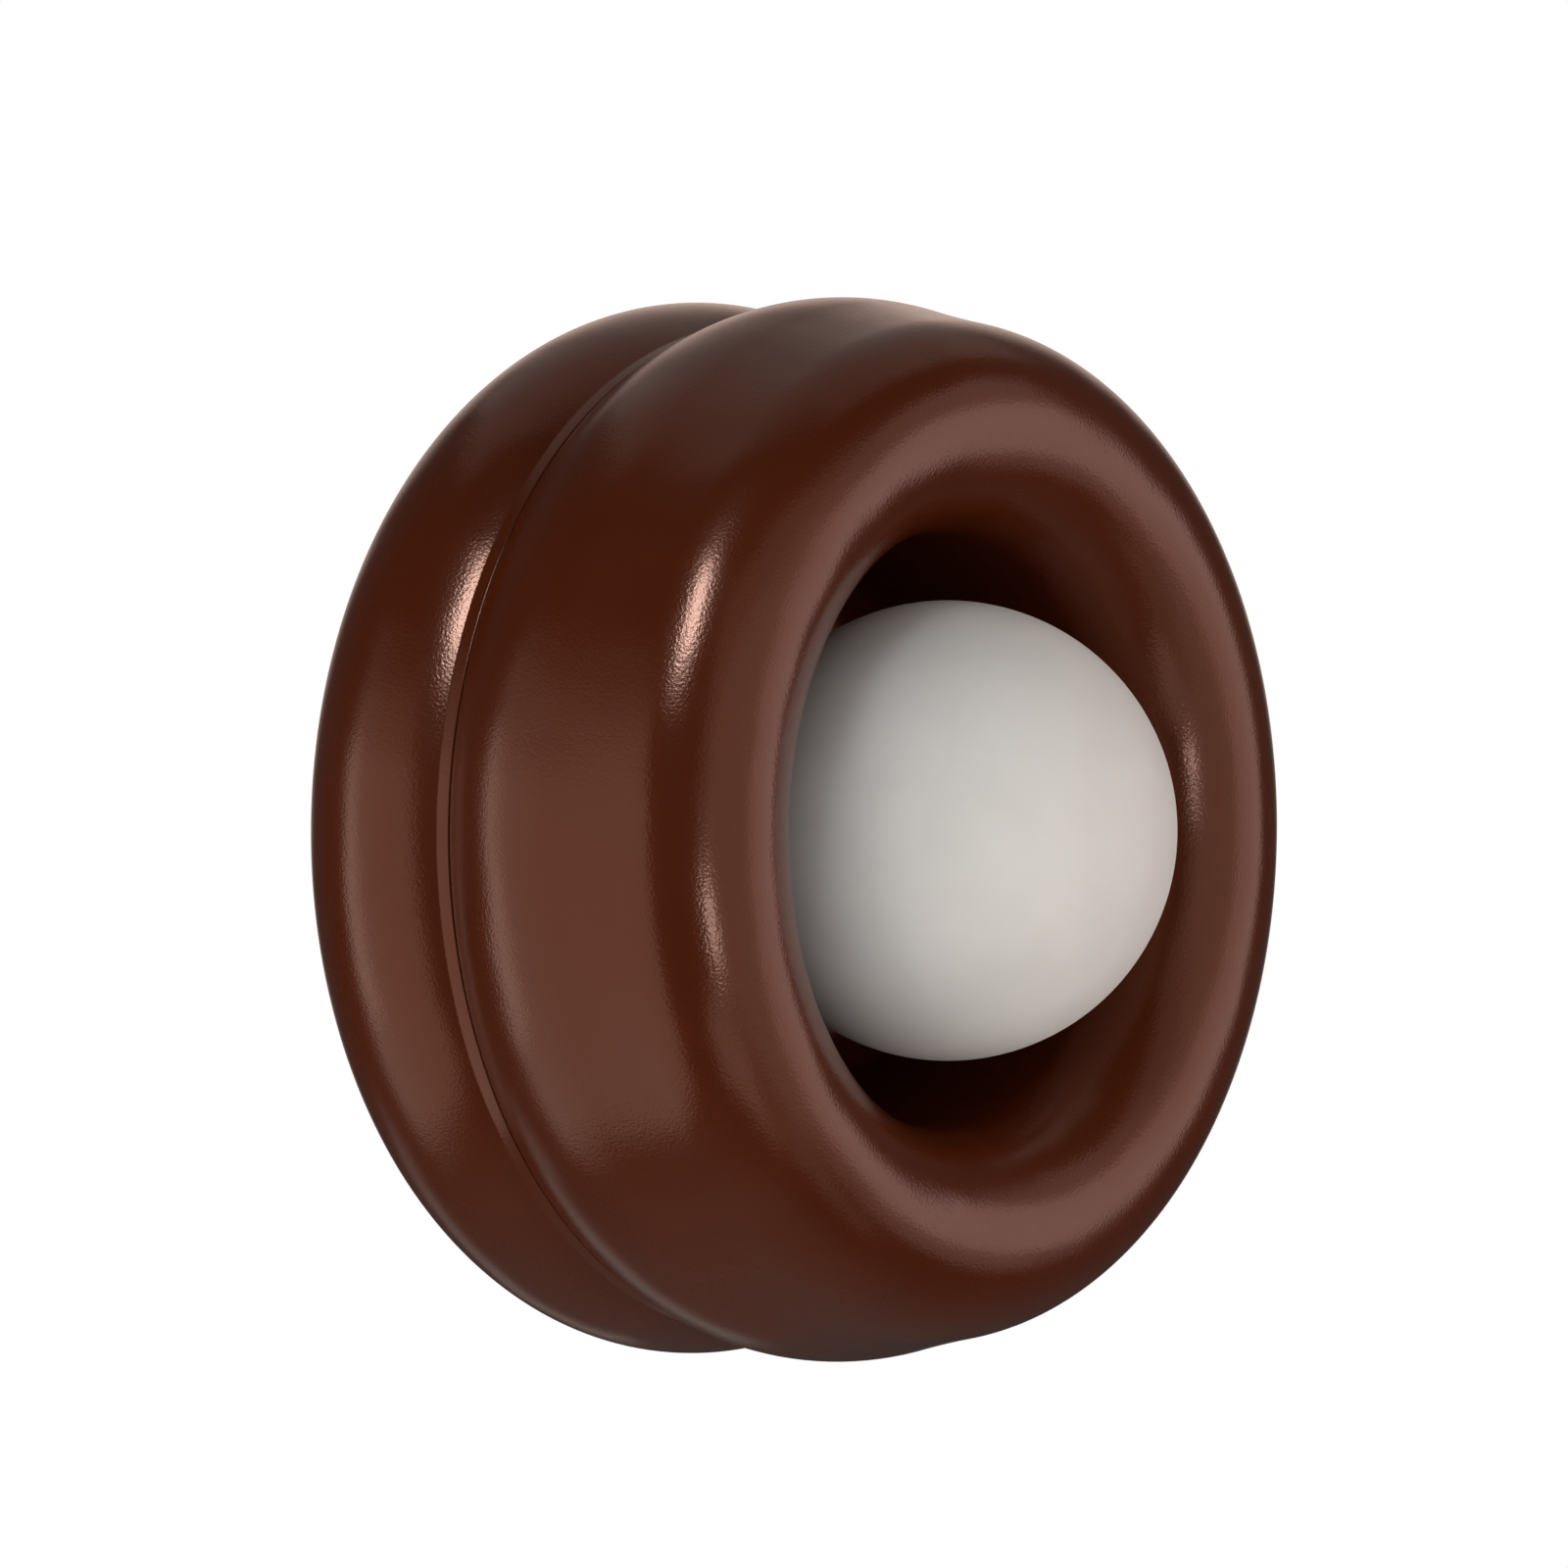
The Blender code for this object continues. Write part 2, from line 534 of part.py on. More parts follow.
def make_lamp_holder():
    half = HOLDER_SIZE[0] / 2.0 + FIT + STIRRUP_THICKNESS
    top = STIRRUP_BASE + STIRRUP_THICKNESS
    arm_top = HOLDER_BACK + STIRRUP_ARM - HOLDER_STANDOFF
    path = [(-half + STIRRUP_THICKNESS, arm_top), (-half + STIRRUP_THICKNESS, top),
            (half - STIRRUP_THICKNESS, top), (half - STIRRUP_THICKNESS, arm_top)]
    stirrup = strap("holder_stirrup", path, STIRRUP_WIDTH, STIRRUP_THICKNESS, ZINC)
    stirrup.rotation_euler = (0.0, 0.0, math.radians(90.0))
    drill(stirrup, TUBE_HOLE, STIRRUP_BASE, STIRRUP_THICKNESS, sides=SMALL_SEGMENTS)

    holder = place("lamp_holder", block("lamp_holder", HOLDER_SIZE), CERAMIC, (0.0, 0.0, HOLDER_BACK))
    soften(holder, HOLDER_EDGE)
    socket_depth = PIN_LENGTH + FIT
    for side in (-1.0, 1.0):
        socket = prism("pin_socket", PIN_RADIUS + PIN_SOCKET_CLEARANCE, socket_depth + OVERRUN, FINE_SEGMENTS)
        cut(holder, socket, (side * PIN_SPACING / 2.0, 0.0, HOLDER_FRONT - socket_depth))
        entry = prism("wire_entry", WIRE_RADIUS + FIT, HOLDER_STANDOFF, FINE_SEGMENTS)
        cut(holder, entry, (0.0, side * wire_entry_offset(), HOLDER_BACK - HOLDER_STANDOFF / 2.0))

    screw_height = (HOLDER_BACK + arm_top) / 2.0
    depth = HOLDER_SIZE[0] / 4.0
    for name, side in (("left", -1.0), ("right", 1.0)):
        lean = (0.0, side * math.radians(90.0), 0.0)
        inward = (0.0, -side * math.radians(90.0), 0.0)
        shank_end = HOLDER_SIZE[0] / 2.0 - depth
        bore = prism("holder_bore", M3[0] + FIT, half + OVERRUN - shank_end + FIT, FINE_SEGMENTS)
        for target in (holder, stirrup):
            cut(target, bore.copy(), (side * (half + OVERRUN), 0.0, screw_height), inward)
        screw = pan_screw(f"holder_screw_{name}", M3, screw_height, half + FIT - shank_end, (0.0, 0.0))
        screw.location = (side * (half + FIT), 0.0, screw_height)
        screw.rotation_euler = lean


def wire_entry_offset():
    return HOLDER_SIZE[1] / 4.0


def make_lamp():
    base_bottom = HOLDER_FRONT + FIT
    base_top = base_bottom + LAMP_BASE_LENGTH
    base = [(0.0, base_top), (LAMP_BASE_RADIUS, base_top), (LAMP_BASE_RADIUS, base_bottom + LAMP_BASE_EDGE),
            (LAMP_BASE_RADIUS - LAMP_BASE_EDGE, base_bottom), (0.0, base_bottom)]
    turned("lamp_base", base, NYLON, SMALL_SEGMENTS, closed=False)
    capsule_bottom = base_top + FIT
    dome = (0.0, capsule_bottom + CAPSULE_LENGTH - CAPSULE_RADIUS)
    capsule = arc(dome, CAPSULE_RADIUS, 90.0, 0.0, CAPSULE_STEPS)
    capsule += [(CAPSULE_RADIUS, capsule_bottom), (0.0, capsule_bottom)]
    capsule[0] = (0.0, capsule_bottom + CAPSULE_LENGTH)
    turned("lamp_capsule", capsule, FROSTED, SMALL_SEGMENTS, closed=False)
    for name, side in (("left", -1.0), ("right", 1.0)):
        pin = prism(f"lamp_pin_{name}", PIN_RADIUS, PIN_LENGTH, FINE_SEGMENTS)
        place(f"lamp_pin_{name}", pin, ZINC, (side * PIN_SPACING / 2.0, 0.0, base_bottom - FIT - PIN_LENGTH))


def make_wiring():
    terminal = place("terminal_block", block("terminal_block", BLOCK_SIZE), NYLON)
    terminal.location = (BLOCK_OFFSET, 0.0, BLOCK_BASE)
    soften(terminal, BLOCK_EDGE)
    face = BLOCK_OFFSET - BLOCK_SIZE[0] / 2.0
    bore_height = BLOCK_BASE + POLE_BORE_HEIGHT
    screw_tip = bore_height + WIRE_RADIUS + FIT
    across = (0.0, math.radians(90.0), 0.0)
    well = BLOCK_BASE + BLOCK_SIZE[2] - bore_height
    for number, pole in enumerate(POLES, 1):
        y = pole * POLE_PITCH
        bore = prism("pole_bore", POLE_BORE_RADIUS, BLOCK_SIZE[0] + 2.0 * OVERRUN, FINE_SEGMENTS)
        cut(terminal, bore, (face - OVERRUN, y, bore_height), across)
        drill(terminal, POLE_SCREW_RADIUS + FIT, bore_height + OVERRUN, well, (BLOCK_OFFSET, y))
        pole_screw = prism(f"pole_screw_{number}", POLE_SCREW_RADIUS, POLE_SCREW_LENGTH, FINE_SEGMENTS)
        place(f"pole_screw_{number}", pole_screw, BRASS, (BLOCK_OFFSET, y, screw_tip))

    tag_bottom = PLATE_FRONT + FIT
    tag_top = tag_bottom + EARTH_TAG_THICKNESS
    tag_radius = M4[1] + EARTH_TAG_MARGIN
    tag = ring(M4[0] + FIT, tag_radius, tag_bottom, tag_top)
    turned("earth_tag", tag, BRASS, FINE_SEGMENTS, location=(*EARTH_PLACE, 0.0))
    pan_screw("earth_screw", M4, tag_top + FIT, tag_top, EARTH_PLACE)

    inserted = BLOCK_OFFSET - WIRE_INSERT
    under_tube = TUBE_REAR - WIRE_DIP
    for name, side, pole, material in (("wire_live", 1.0, 1.0, LIVE), ("wire_neutral", -1.0, 0.0, NEUTRAL)):
        start = pole * POLE_PITCH
        inside = side * WIRE_SPREAD
        points = [(inserted, start, bore_height), (face - WIRE_LEAD, start, bore_height),
                  ((face + TUBE_RADIUS) / 2.0, (start + inside) / 2.0, bore_height),
                  (TUBE_RADIUS, inside, bore_height + WIRE_RISE), (0.0, inside, under_tube),
                  (0.0, inside, TUBE_REAR), (0.0, inside, (TUBE_REAR + TUBE_FRONT) / 2.0),
                  (0.0, inside, TUBE_FRONT), (0.0, side * wire_entry_offset(), HOLDER_BACK - FIT),
                  (0.0, side * wire_entry_offset(), HOLDER_BACK + HOLDER_STANDOFF / 4.0)]
        wire(name, points, material)
    tag_edge = tag_radius + FIT + WIRE_RADIUS
    earth_start = -POLE_PITCH
    points = [(inserted, earth_start, bore_height), (face - WIRE_LEAD, earth_start, bore_height),
              (face - 2.0 * WIRE_LEAD, (earth_start + EARTH_PLACE[1]) / 2.0, bore_height - WIRE_RISE),
              (face - 1.5 * WIRE_LEAD, EARTH_PLACE[1] + 1.5 * WIRE_LEAD, tag_bottom + 2.0 * WIRE_RADIUS),
              (EARTH_PLACE[0] - tag_edge, EARTH_PLACE[1], tag_bottom + WIRE_RADIUS)]
    wire("wire_earth", points, EARTH)


make_housing()
make_back_plate()
make_bridge()
make_tube()
make_globe()
make_lamp_holder()
make_lamp()
make_wiring()
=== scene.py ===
import json
import math

import bmesh
import bpy
from mathutils import Matrix, Vector


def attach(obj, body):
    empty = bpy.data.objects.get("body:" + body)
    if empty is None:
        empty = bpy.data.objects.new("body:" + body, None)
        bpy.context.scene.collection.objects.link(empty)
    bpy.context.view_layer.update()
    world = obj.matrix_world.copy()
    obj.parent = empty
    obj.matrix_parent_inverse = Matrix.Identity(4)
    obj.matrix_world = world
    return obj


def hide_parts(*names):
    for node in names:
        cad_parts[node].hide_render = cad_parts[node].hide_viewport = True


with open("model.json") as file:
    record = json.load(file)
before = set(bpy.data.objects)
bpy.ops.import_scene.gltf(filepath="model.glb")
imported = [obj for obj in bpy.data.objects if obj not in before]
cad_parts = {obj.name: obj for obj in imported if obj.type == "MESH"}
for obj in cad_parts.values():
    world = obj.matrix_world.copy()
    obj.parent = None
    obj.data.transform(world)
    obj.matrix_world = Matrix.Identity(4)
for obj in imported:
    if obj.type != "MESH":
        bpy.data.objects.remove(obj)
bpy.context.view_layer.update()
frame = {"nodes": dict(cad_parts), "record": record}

MM = 0.001

# Spun housing: radii, and depths measured out from the wall; the neck's radius at its crease
# and at its rim, and the lip's crest in radius and depth
HOUSING_RADIUS = 116.5 * MM
SHEET = 1.6 * MM
HEM = 0.3 * MM
REAR_BACK = 2.3 * MM
REAR_BACK_ROUND = 30.0 * MM
REAR_FRONT_ROUND = 32.0 * MM
REAR_CREST = 32.3 * MM
REAR_NECK = (111.3 * MM, 111.0 * MM)
REAR_NECK_ROUND = 1.0 * MM
REAR_RIM = 52.6 * MM
REAR_FLANGE = 46.92 * MM
FRONT_FLANGE = 47.22 * MM
FRONT_RIM = 53.1 * MM
SKIRT_RADIUS = 109.4 * MM
CROWN_ROUND = 40.0 * MM
FRONT_CREST = 73.10 * MM
WAIST_ROUND = 260.0 * MM
LIP_CREST = (88.4 * MM, 119.90 * MM)
LIP_INNER_ROUND = 23.6 * MM
LIP_OUTER_ROUND = 23.0 * MM
WELL_ROUND = 14.0 * MM
WELL_FLOOR = 37.70 * MM
SEAM_FLANGE_RADIUS = 99.0 * MM
BACK_FLANGE_RADIUS = 76.1 * MM
TUBE_HOLE = 5.3 * MM

# Globe, its threaded collar, the seal under it (bore, radius, bottom and top) and the gallery
# that it screws into
GLOBE_RADIUS = 50.0 * MM
GLOBE_CENTRE = 99.88 * MM
GLASS = 3.0 * MM
NECK_RADIUS = 21.0 * MM
NECK_TOP = 54.50 * MM
NECK_END = 41.50 * MM
FIT = 0.3 * MM
THREAD_PITCH = 4.0 * MM
THREAD_TURNS = 2.5
THREAD_HEIGHT = 0.4 * MM
THREAD_ROOT = 0.2 * MM
THREAD_HALF_WIDTH = 0.9 * MM
SEAL = (21.3 * MM, 25.0 * MM, 51.94 * MM, 54.34 * MM)
SEAL_ROUND = 0.9 * MM
GALLERY_BORE = 21.6 * MM
GALLERY_RADIUS = 24.0 * MM
GALLERY_BOTTOM = 38.0 * MM
GALLERY_TOP = 40.0 * MM
GALLERY_RIM = 51.64 * MM
GALLERY_CORNER = 3.0 * MM

# Back plate and the cable grommet in it; holes are given as x, z and radius, and the grommet's
# lip as its bottom and top
PLATE_RADIUS = 84.1 * MM
PLATE_THICKNESS = 2.0 * MM
PLATE_EDGE = 0.35 * MM
SLOT_WIDTH = 6.0 * MM
SLOT_LENGTH = 16.0 * MM
SLOT_OFFSET = 58.0 * MM
CABLE_HOLE = (-32.0 * MM, 0.0, 9.0 * MM)
TAPPED_HOLE = 2.3 * MM
SCREW_HOLES = (
    (0.0, 34.0 * MM, TAPPED_HOLE),
    (0.0, -34.0 * MM, TAPPED_HOLE),
    (30.0 * MM, -30.0 * MM, TAPPED_HOLE),
)
GROMMET_BORE = 5.5 * MM
GROMMET_WAIST = 8.7 * MM
GROMMET_FLARE = 11.2 * MM
GROMMET_LIP = (2.3 * MM, 3.8 * MM)

# Fineness: turns round an axis, stops along the well's floor and wall, and steps of arcs,
# in pairs where the outside and the inside of a sheet differ
SHELL_TURNS = 256
GLOBE_TURNS = 192
PLATE_TURNS = 128
GROMMET_TURNS = 96
HOLE_TURNS = 48
FLOOR_STOPS = (0.35, 0.7, 1.0)
WALL_STOPS = (0.25, 0.5, 0.75, 1.0)
OUTSIDE, INSIDE = 0, 1
WELL_STEPS = (16, 6)
LIP_INNER_STEPS = (30, 12)
LIP_OUTER_STEPS = (28, 10)
WAIST_STEPS = (14, 6)
CROWN_STEPS = (40, 14)
BULGE_STEPS = (30, 10)
BACK_STEPS = (40, 14)
GLOBE_STEPS = (72, 36)
HEM_STEPS = 4
CREASE_STEPS = 6
THREAD_STEPS = 48
SEAL_STEPS = 5
CUP_STEPS = 4
CUP_RIM_STEPS = 10
CUP_CORNER_STEPS = 6
SLOT_END_STEPS = 16
PLATE_EDGE_STEPS = 2
GROMMET_BORE_STEPS = 5
GROMMET_FLARE_STEPS = 10
WELD = 0.001 * MM

# Degrees: edges shaded crisp, the plate's edges that are broken, and bearings in a profile
CRISP_ANGLE = 40.0
PLATE_CRISP_ANGLE = 20.0
RIM_ANGLE = 80.0
QUARTER = 90.0
HALF = 180.0
OUTWARD, FORWARD, INWARD, BACKWARD = 0.0, 90.0, 180.0, -90.0

ORIGIN = (0.0, 0.0, 0.0)
LAMP_AXIS = (0.0, 1.0, 0.0)
PROFILE_AXIS = (0.0, 0.0, 1.0)
ROUND_PROFILE = 0.5
WALL_PLANE = Matrix.Rotation(math.radians(90.0), 3, 'X')

# Spray texture: noise detail, the part of the noise that blends, and its depth
PEBBLE_DETAIL = 1.0
SWELL_DETAIL = 2.0
BLEND_START = 0.35
BLEND_END = 0.65
PEEL_DEPTH = 0.05 * MM
METAL = {"Metallic": 1.0}

# The photograph's camera
CAMERA_PLACE = Vector((-1.49482, -1.24411, 0.02686))
CAMERA_TARGET = Vector((-0.00808, -0.06107, 0.00995))
CAMERA_LENS = 198.97
SENSOR_WIDTH = 36.0

# Studio: lengths in metres
AIM = Vector((0.0, -0.07, 0.0))
PANEL_DISTANCE = 1.6
FLOOR_DROP = 2.2
FLOOR_SIZE = 24.0
FLOOR_COLOUR = (0.74, 0.73, 0.72, 1.0)
FLOOR_ROUGHNESS = 0.9
ROOM_COLOUR = (1.0, 0.98, 0.96, 1.0)
ROOM_STRENGTH = 0.06
BACKDROP_RISE = Vector((0.0, 0.0, 0.5))
BACKDROP_EDGE = 0.89
BACKDROP_WHITE = (1.0, 1.0, 1.0, 1.0)
BACKDROP_TONE = (1.0, 0.76, 0.66, 1.0)
FILL_COLOUR = (1.0, 1.0, 1.0)
KEY_COLOUR = (0.94, 0.98, 1.0)
WALL_COLOUR = (1.0, 0.90, 0.82)
WARM_COLOUR = (1.0, 0.80, 0.76)

# Soft panels: azimuth, elevation, width and height in degrees from the lamp, radiance, colour
PANELS = {
    "key_box": (-66.0, 40.0, 12.0, 25.0, 3.5, KEY_COLOUR),
    "key_core": (-67.0, 42.0, 10.0, 16.0, 30.0, KEY_COLOUR),
    "left_back_strip": (-140.0, -8.0, 12.0, 44.0, 1.2, WALL_COLOUR),
    "left_wall": (-115.0, -20.0, 66.0, 70.0, 0.6, WALL_COLOUR),
    "left_wall_mid": (-115.0, -16.0, 64.0, 84.0, 0.45, WALL_COLOUR),
    "left_wall_tall": (-115.0, -12.0, 62.0, 92.0, 0.3, WALL_COLOUR),
    "front_fill": (-58.0, -8.0, 60.0, 64.0, 1.05, FILL_COLOUR),
    "front_wall": (-2.0, 0.0, 64.0, 84.0, 0.55, WALL_COLOUR),
    "front_wall_core": (2.0, 0.0, 52.0, 50.0, 0.5, WALL_COLOUR),
    "front_spot": (-25.0, -13.0, 8.0, 9.0, 13.0, KEY_COLOUR),
    "front_lower": (-24.0, -36.0, 26.0, 16.0, 0.8, WALL_COLOUR),
    "right_wall": (45.0, 4.0, 32.0, 60.0, 0.75, WARM_COLOUR),
    "right_wall_core": (43.0, 1.0, 34.0, 32.0, 1.25, WARM_COLOUR),
    "right_wall_peak": (43.0, 1.0, 32.0, 14.0, 1.35, WARM_COLOUR),
    "back_low": (156.0, -33.0, 40.0, 12.0, 0.25, WALL_COLOUR),
    "overhead": (120.0, 66.0, 64.0, 52.0, 0.32, WALL_COLOUR),
}
MIRRORED_ONLY = ("key_core", "front_spot")
DIFFUSE_ONLY = ("front_fill",)


def of_kind(items, kind):
    return [item for item in items if isinstance(item, kind)]


def add_object(name, data):
    thing = bpy.data.objects.new(name, data)
    bpy.context.scene.collection.objects.link(thing)
    return thing


def add_mesh(name, form, material):
    """The object made from a form, which is used up."""
    mesh = bpy.data.meshes.new(name)
    form.to_mesh(mesh)
    form.free()
    mesh.materials.append(material)
    return add_object(name, mesh)


def look(thing, place, target):
    """Stand a light or a camera at a place, facing a target."""
    thing.location = place
    thing.rotation_euler = (target - place).to_track_quat('-Z', 'Y').to_euler()


def bearing(origin, target):
    return math.degrees(math.atan2(target[1] - origin[1], target[0] - origin[0]))


def polar(centre, radius, degrees):
    """The point at a bearing and distance from a centre, in radius and depth."""
    turn = math.radians(degrees)
    return (centre[0] + radius * math.cos(turn), centre[1] + radius * math.sin(turn))


def tangent_centre(first, first_reach, second, second_reach):
    """The centre of a hollow that touches two rounds, given its distances from their centres."""
    a = Vector(first)
    b = Vector(second)
    apart = (b - a).length
    along = (first_reach ** 2 - second_reach ** 2 + apart ** 2) / (2.0 * apart)
    aside = math.sqrt(first_reach ** 2 - along ** 2)
    line = (b - a) / apart
    return a + along * line + aside * Vector((line.y, -line.x))


class Profile:
    """A turner's profile: lines and arcs in radius and depth, then turned about the lamp axis."""

    def __init__(self, radius, depth):
        self.form = bmesh.new()
        self.start = self.form.verts.new((radius, -depth, 0.0))
        self.tip = self.start

    def line(self, radius, depth):
        drawn = bmesh.ops.extrude_vert_indiv(self.form, verts=[self.tip])
        self.tip = drawn["verts"][0]
        self.tip.co = (radius, -depth, 0.0)

    def arc(self, centre, degrees, steps):
        """An arc about a centre; a positive turn goes from outward to forward."""
        drawn = bmesh.ops.spin(self.form, geom=[self.tip], cent=(centre[0], -centre[1], 0.0),
                               axis=PROFILE_AXIS, angle=-math.radians(degrees), steps=steps)
        self.tip = of_kind(drawn["geom_last"], bmesh.types.BMVert)[0]

    def arc_to(self, centre, stop, steps, clockwise):
        """An arc about a centre until the tip stands at a bearing from it."""
        turn = (stop - bearing(centre, (self.tip.co.x, -self.tip.co.y))) % 360.0
        self.arc(centre, turn - 360.0 if clockwise else turn, steps)

    def close(self):
        self.form.edges.new((self.tip, self.start))

    def turned(self, turns):
        form = self.form
        bmesh.ops.spin(form, geom=form.verts[:] + form.edges[:], cent=ORIGIN, axis=LAMP_AXIS,
                       angle=math.tau, steps=turns, use_merge=True)
        bmesh.ops.remove_doubles(form, verts=form.verts, dist=WELD)
        bmesh.ops.recalc_face_normals(form, faces=form.faces)
        return form


# Materials

def set_inputs(node, settings):
    for label, value in settings.items():
        node.inputs[label].default_value = value


def math_node(nodes, links, operation, *sources):
    """A maths node fed from the given sockets."""
    node = nodes.new('ShaderNodeMath')
    node.operation = operation
    for source, socket in zip(sources, node.inputs):
        links.new(source, socket)
    return node.outputs["Value"]


def show_mix(nodes, links, factor, first, second, output):
    """Two shaders mixed by a factor and sent to an output node."""
    mix = nodes.new('ShaderNodeMixShader')
    links.new(factor, mix.inputs["Fac"])
    links.new(first, mix.inputs[1])
    links.new(second, mix.inputs[2])
    links.new(mix.outputs["Shader"], output.inputs["Surface"])


def make_orange_peel():
    """Spray texture: a small pebble and a longer swell, as a height and as a mask for the sheen."""
    group = bpy.data.node_groups.new("orange_peel", 'ShaderNodeTree')
    for label in ("Pebble Scale", "Swell Scale", "Swell Share"):
        group.interface.new_socket(label, in_out='INPUT', socket_type='NodeSocketFloat')
    for label in ("Height", "Mask"):
        group.interface.new_socket(label, in_out='OUTPUT', socket_type='NodeSocketFloat')
    nodes, links = group.nodes, group.links
    given = nodes.new('NodeGroupInput').outputs
    result = nodes.new('NodeGroupOutput').inputs
    where = nodes.new('ShaderNodeTexCoord')
    pebble = nodes.new('ShaderNodeTexNoise')
    swell = nodes.new('ShaderNodeTexNoise')
    for noise, detail, scale in ((pebble, PEBBLE_DETAIL, "Pebble Scale"),
                                 (swell, SWELL_DETAIL, "Swell Scale")):
        noise.inputs["Detail"].default_value = detail
        links.new(where.outputs["Object"], noise.inputs["Vector"])
        links.new(given[scale], noise.inputs["Scale"])
    height = math_node(nodes, links, 'MULTIPLY_ADD', swell.outputs["Fac"], given["Swell Share"],
                       pebble.outputs["Fac"])
    links.new(height, result["Height"])
    links.new(swell.outputs["Fac"], result["Mask"])
    return group


ORANGE_PEEL = make_orange_peel()


def new_material(name):
    material = bpy.data.materials.new(name)
    material.use_nodes = True
    return material, material.node_tree.nodes, material.node_tree.links


def ramp(nodes, links, source, low, high):
    """A value turned into a blend of two colours or greys."""
    blend = nodes.new('ShaderNodeValToRGB')
    places = (BLEND_START, BLEND_END)
    for stop, place, colour in zip(blend.color_ramp.elements, places, (low, high)):
        stop.position = place
        stop.color = (*colour, 1.0)
    links.new(source, blend.inputs["Fac"])
    return blend.outputs["Color"]


def sprayed(name, low, high, gloss, bump, pebble=1500.0, swell=60.0, wave=0.3, settings=None):
    """A sprayed or cast finish: the swell shifts colour and gloss, the pebble breaks the shine."""
    material, nodes, links = new_material(name)
    shader = nodes["Principled BSDF"]
    set_inputs(shader, settings or {})
    peel = nodes.new('ShaderNodeGroup')
    peel.node_tree = ORANGE_PEEL
    set_inputs(peel, {"Pebble Scale": pebble, "Swell Scale": swell, "Swell Share": wave})
    mask = peel.outputs["Mask"]
    links.new(ramp(nodes, links, mask, low, high), shader.inputs["Base Color"])
    greys = [(rough,) * 3 for rough in gloss]
    links.new(ramp(nodes, links, mask, *greys), shader.inputs["Roughness"])
    relief = nodes.new('ShaderNodeBump')
    set_inputs(relief, {"Strength": bump, "Distance": PEEL_DEPTH})
    links.new(peel.outputs["Height"], relief.inputs["Height"])
    links.new(relief.outputs["Normal"], shader.inputs["Normal"])
    return material


# Each finish by its slot: two colours and two roughnesses that it drifts between, then the spray
FINISHES = {
    "lacquer": sprayed(
        "brown_lacquer", (0.058, 0.0096, 0.0018), (0.065, 0.0112, 0.0022), (0.18, 0.22),
        bump=1.0, pebble=1600.0, swell=18.0, wave=36.0,
        settings={"Specular Tint": (1.0, 0.60, 0.48, 1.0)}),
    "opal_glass": sprayed(
        "opal_glass", (0.68, 0.68, 0.665), (0.71, 0.71, 0.695), (0.56, 0.62),
        bump=0.05, pebble=900.0,
        settings={"Specular IOR Level": 0.3, "Subsurface Weight": 0.3,
                  "Subsurface Radius": (1.0, 0.8, 0.65), "Subsurface Scale": 6.0 * MM}),
    "zinc": sprayed(
        "zinc_plate", (0.54, 0.55, 0.56), (0.62, 0.62, 0.62), (0.32, 0.38),
        bump=0.15, pebble=900.0, swell=220.0, settings=METAL),
    "brass": sprayed(
        "plain_brass", (0.58, 0.40, 0.16), (0.70, 0.50, 0.22), (0.24, 0.38),
        bump=0.10, pebble=900.0, swell=200.0, settings=METAL),
    "gallery_paint": sprayed(
        "gallery_paint", (0.016, 0.014, 0.013), (0.026, 0.023, 0.021), (0.36, 0.46), bump=0.35),
    "ceramic": sprayed(
        "white_ceramic", (0.74, 0.73, 0.69), (0.82, 0.81, 0.77), (0.40, 0.55),
        bump=0.45, pebble=1100.0),
    "silicone": sprayed(
        "milky_silicone", (0.64, 0.64, 0.62), (0.72, 0.72, 0.70), (0.46, 0.58), bump=0.10),
    "rubber": sprayed(
        "black_rubber", (0.016, 0.016, 0.016), (0.026, 0.026, 0.025), (0.62, 0.78), bump=0.35),
    "frosted": sprayed(
        "frosted_capsule", (0.80, 0.78, 0.73), (0.86, 0.84, 0.80), (0.36, 0.46), bump=0.15),
    "nylon": sprayed(
        "white_nylon", (0.70, 0.70, 0.68), (0.77, 0.77, 0.75), (0.40, 0.50), bump=0.15),
    "brown_insulation": sprayed(
        "brown_insulation", (0.11, 0.042, 0.017), (0.14, 0.055, 0.022), (0.38, 0.48), bump=0.10),
    "blue_insulation": sprayed(
        "blue_insulation", (0.025, 0.10, 0.38), (0.035, 0.13, 0.44), (0.38, 0.48), bump=0.10),
    "green_insulation": sprayed(
        "green_insulation", (0.09, 0.33, 0.05), (0.50, 0.52, 0.05), (0.38, 0.48),
        bump=0.10, swell=90.0),
}

for row in frame["record"]["subparts"]:
    node = frame["nodes"][row["node"]]
    node.data.materials.clear()
    node.data.materials.append(FINISHES[row["material_slot"]])


# Pieces

def finished(name, form, body, slot, stands_for, sharp=CRISP_ANGLE):
    """The piece made from a form: in its slot's finish, smooth with crisp edges, on a body."""
    piece = add_mesh(name, form, FINISHES[slot])
    piece.data.shade_smooth()
    piece.data.set_sharp_from_angle(angle=math.radians(sharp))
    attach(piece, body)
    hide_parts(*stands_for)


